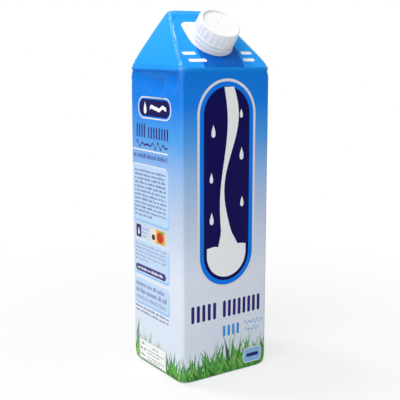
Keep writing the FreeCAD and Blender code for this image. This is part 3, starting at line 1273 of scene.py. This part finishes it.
def edge_wear_group():
    """A mask of edges broken up by noise: 0 on the flats, up to 1 where an edge is rubbed. On the
    board the mask also lightens the folds' colour as a painted highlight.
    """
    tree, nodes, entry, leave = effect_group(
        "edge_wear", (("Edge", 0.0), ("Patch Scale", 260.0)), ("Rubbed",),
    )
    inputs = {"Vector": nodes.object_place(), "Scale": entry.outputs["Patch Scale"], "Detail": 4.0}
    patches = nodes.add("ShaderNodeTexNoise", inputs)
    broken = nodes.remap(patches.outputs["Fac"], 0.3, 0.65, 0.35)
    nodes.feed(leave.inputs["Rubbed"], nodes.math("MULTIPLY", entry.outputs["Edge"], broken))
    return tree


# Height in mm and printed colour of the ground, from the foot up to the shoulders
GROUND_PRINT = (
    (0, (224, 233, 246)),
    (72, (228, 236, 249)),
    (112, (196, 212, 236)),
    (140, (156, 192, 238)),
    (164, (82, 163, 238)),
    (188, (22, 130, 236)),
    (208, (14, 124, 226)),
)
# the roof's blue, lighter and more cyan than the shoulders and lighter towards the ridge: printed
# blue with painted sheen of the light from above
ROOF_BLUE_AND_SHEEN = (
    (shoulder_z + 0.6, (30, 156, 246)),
    (ridge_z, (42, 164, 248)),
)


def ground_print_and_roof_sheen(nodes):
    """Colour of the ground print by height: pale foot, deep blue shoulders, and a light blue roof
    whose extra lightness towards the ridge is partly painted sheen.
    """
    split = nodes.add("ShaderNodeSeparateXYZ", {0: nodes.object_place()})
    share = nodes.math("DIVIDE", split.outputs["Z"], ridge_z * MM)
    ramp = nodes.add("ShaderNodeValToRGB", {"Fac": share})
    elements = ramp.color_ramp.elements
    for index, (height, colour) in enumerate(GROUND_PRINT + ROOF_BLUE_AND_SHEEN):
        element = elements[index] if index < 2 else elements.new(height / ridge_z)
        element.position = height / ridge_z
        element.color = paint(*colour)
    return ramp.outputs["Color"]


def new_finish(name, grain, wear, fine, slow):
    """Material with its shader, and the two effects that every finish of the pack uses.

    Gives the material, its nodes, its shader, the grain's outputs and the wear node; on the board
    that node's mask also drives a painted highlight on the folds.
    """
    material = bpy.data.materials.new(name)
    material.use_nodes = True
    nodes = Nodes(material.node_tree)
    texture = nodes.add("ShaderNodeGroup", node_tree=grain)
    texture.inputs["Fine Scale"].default_value = fine
    texture.inputs["Slow Scale"].default_value = slow
    rubbed = nodes.add("ShaderNodeGroup", node_tree=wear)
    return material, nodes, material.node_tree.nodes["Principled BSDF"], texture.outputs, rubbed


def uneven_surface(nodes, shader, texture, waver_share, strength, distance):
    """Bump from the slow waver and the fine grain."""
    waver = nodes.math("MULTIPLY", texture["Waver"], waver_share)
    relief = nodes.math("ADD", waver, texture["Grain"])
    inputs = {"Strength": strength, "Distance": distance, "Height": relief}
    nodes.feed(shader.inputs["Normal"], nodes.add("ShaderNodeBump", inputs).outputs[0])


def printed_board(grain, wear):
    """Coated board with its print: ground colour by height, the roof's lighter blue partly painted
    sheen, inks laid on it, folds lightened partly as wear and partly as painted highlight.
    """
    finish = new_finish("printed_board", grain, wear, 1500.0, 70.0)
    material, nodes, shader, texture, rubbed = finish
    inks = nodes.add("ShaderNodeAttribute", attribute_name="print_ink").outputs
    printed = nodes.blend(inks["Alpha"], ground_print_and_roof_sheen(nodes), inks["Color"])
    mottle = nodes.remap(texture["Grain"], 0.3, 0.7, 0.965, 1.03)
    inputs = {0: printed, "Scale": mottle}
    shade = nodes.add("ShaderNodeVectorMath", inputs, operation="SCALE").outputs[0]
    folds = nodes.add("ShaderNodeAttribute", attribute_name="fold")
    nodes.feed(rubbed.inputs["Edge"], folds.outputs["Fac"])
    rubbed.inputs["Patch Scale"].default_value = 300.0
    # folds are lightened towards a pale blue: partly rubbed wear, partly a painted highlight of the
    # lamps on the rounded edges
    worn_and_highlit_share = nodes.math("MULTIPLY", rubbed.outputs["Rubbed"], 0.07)
    nodes.feed(shader.inputs["Base Color"], nodes.blend(worn_and_highlit_share, shade, paint(214, 232, 246)))
    nodes.feed(shader.inputs["Roughness"], nodes.remap(texture["Waver"], to_low=0.34, to_high=0.5))
    nodes.feed(shader.inputs["Coat Weight"], rubbed.outputs["Rubbed"])
    shader.inputs["Coat Roughness"].default_value = 0.15
    shader.inputs["Specular IOR Level"].default_value = 0.07
    uneven_surface(nodes, shader, texture, waver_share=3.0, strength=0.25, distance=0.00005)
    return material


def moulded_plastic(grain, wear):
    """White moulded polyethylene: soft sheen, faint flow marks, edges rubbed a little smoother."""
    finish = new_finish("moulded_plastic", grain, wear, 3200.0, 130.0)
    material, nodes, shader, texture, rubbed = finish
    tint = nodes.blend(texture["Waver"], paint(247, 248, 249), paint(251, 251, 250))
    nodes.feed(shader.inputs["Base Color"], tint)
    bevel = nodes.add("ShaderNodeBevel", {"Radius": 0.0004}, samples=6)
    shape = nodes.add("ShaderNodeNewGeometry")
    inputs = {0: bevel.outputs["Normal"], 1: shape.outputs["Normal"]}
    across = nodes.add("ShaderNodeVectorMath", inputs, operation="DOT_PRODUCT")
    turned = nodes.math("SUBTRACT", 1.0, across.outputs["Value"])
    nodes.feed(rubbed.inputs["Edge"], nodes.math("MULTIPLY", turned, 8.0))
    gloss = nodes.remap(texture["Waver"], to_low=0.36, to_high=0.48)
    smoothed = nodes.math("MULTIPLY", rubbed.outputs["Rubbed"], 0.12)
    nodes.feed(shader.inputs["Roughness"], nodes.math("SUBTRACT", gloss, smoothed))
    shader.inputs["Specular IOR Level"].default_value = 0.4
    shader.inputs["Subsurface Weight"].default_value = 0.12
    shader.inputs["Subsurface Radius"].default_value = (1.0, 1.0, 1.0)
    shader.inputs["Subsurface Scale"].default_value = 0.0015
    uneven_surface(nodes, shader, texture, waver_share=2.0, strength=0.2, distance=0.00004)
    return material


# ---------------------------------------------------------------- stage, light and camera


def background_ray(nodes):
    """1 for rays that look straight at, mirror or pass through to the background."""
    rays = nodes.add("ShaderNodeLightPath").outputs
    direct = nodes.math("MAXIMUM", rays["Is Camera Ray"], rays["Is Glossy Ray"])
    return nodes.math("MAXIMUM", direct, rays["Is Transmission Ray"])


def make_floor():
    """Pale floor, white in the distance, with the pack's soft shadow near it."""
    material = bpy.data.materials.new("pale_floor")
    material.use_nodes = True
    nodes = Nodes(material.node_tree)
    shader = material.node_tree.nodes["Principled BSDF"]
    shader.inputs["Base Color"].default_value = (0.86, 0.86, 0.86, 1)
    shader.inputs["Roughness"].default_value = 0.9
    shader.inputs["Specular IOR Level"].default_value = 0.1
    white = nodes.add("ShaderNodeEmission")
    inputs = {0: nodes.object_place()}
    distance = nodes.add("ShaderNodeVectorMath", inputs, operation="LENGTH").outputs["Value"]
    far = nodes.remap(distance, 0.05, 0.4, 0.72, 1.0, interpolation_type="SMOOTHSTEP")
    seen_far = nodes.math("MULTIPLY", background_ray(nodes), far)
    mix = nodes.add("ShaderNodeMixShader", {0: seen_far, 1: shader.outputs[0], 2: white.outputs[0]})
    nodes.feed(material.node_tree.nodes["Material Output"].inputs["Surface"], mix.outputs[0])
    mesh = bmesh.new()
    bmesh.ops.create_grid(mesh, x_segments=8, y_segments=8, size=6.0)
    floor = mesh_object("floor", mesh, material)


def make_world():
    """Soft grey surrounding light; the background itself is white."""
    world = bpy.data.worlds.new("studio")
    bpy.context.scene.world = world
    world.use_nodes = True
    nodes = Nodes(world.node_tree)
    soft = world.node_tree.nodes["Background"]
    soft.inputs["Color"].default_value = (0.97, 0.985, 1.0, 1)
    soft.inputs["Strength"].default_value = 0.33
    white = nodes.add("ShaderNodeBackground", {"Color": (1, 1, 1, 1)})
    inputs = {0: background_ray(nodes), 1: soft.outputs[0], 2: white.outputs[0]}
    mix = nodes.add("ShaderNodeMixShader", inputs)
    nodes.feed(world.node_tree.nodes["World Output"].inputs["Surface"], mix.outputs[0])


def make_softbox(name, place, size, power, aim=Vector((0, 0, 0.12))):
    """Soft light that looks at the pack."""
    lamp = bpy.data.lights.new(name, "AREA")
    lamp.shape = "RECTANGLE"
    lamp.size, lamp.size_y = size
    lamp.energy = power
    holder = bpy.data.objects.new(name, lamp)
    holder.location = place
    holder.rotation_euler = (aim - Vector(place)).to_track_quat("-Z", "Y").to_euler()
    bpy.context.scene.collection.objects.link(holder)


def make_camera():
    """Camera in front of the pack, to its left and a little below the cap."""
    camera = bpy.data.cameras.new("camera")
    camera.lens = 72
    camera.sensor_width = 36
    holder = bpy.data.objects.new("camera", camera)
    holder.location = (-0.309, -0.458, 0.2223)
    turn, tilt = 0.5945, 0.1856
    holder.rotation_euler = (math.pi / 2 - tilt, 0, -turn)
    bpy.context.scene.collection.objects.link(holder)
    bpy.context.scene.camera = holder


def make_stage():
    """Floor, surroundings, three softboxes and the camera."""
    make_floor()
    make_world()
    make_softbox("key_softbox", (-0.75, -0.42, 1.05), (0.8, 0.8), 8.6)
    make_softbox("side_strip", (-0.98, -0.62, 0.35), (0.16, 0.9), 0.9)
    make_softbox("top_strip", (-0.26, 0.34, 1.35), (0.18, 0.3), 7.0)
    bpy.context.scene.view_settings.view_transform = "Standard"
    make_camera()


# ---------------------------------------------------------------- making


grain = surface_grain_group()
wear = edge_wear_group()
board = printed_board(grain, wear)
plastic = moulded_plastic(grain, wear)
make_carton(board)
make_fin(board)
make_flange(plastic)
make_tamper_band(plastic)
make_cap(plastic)
make_stage()
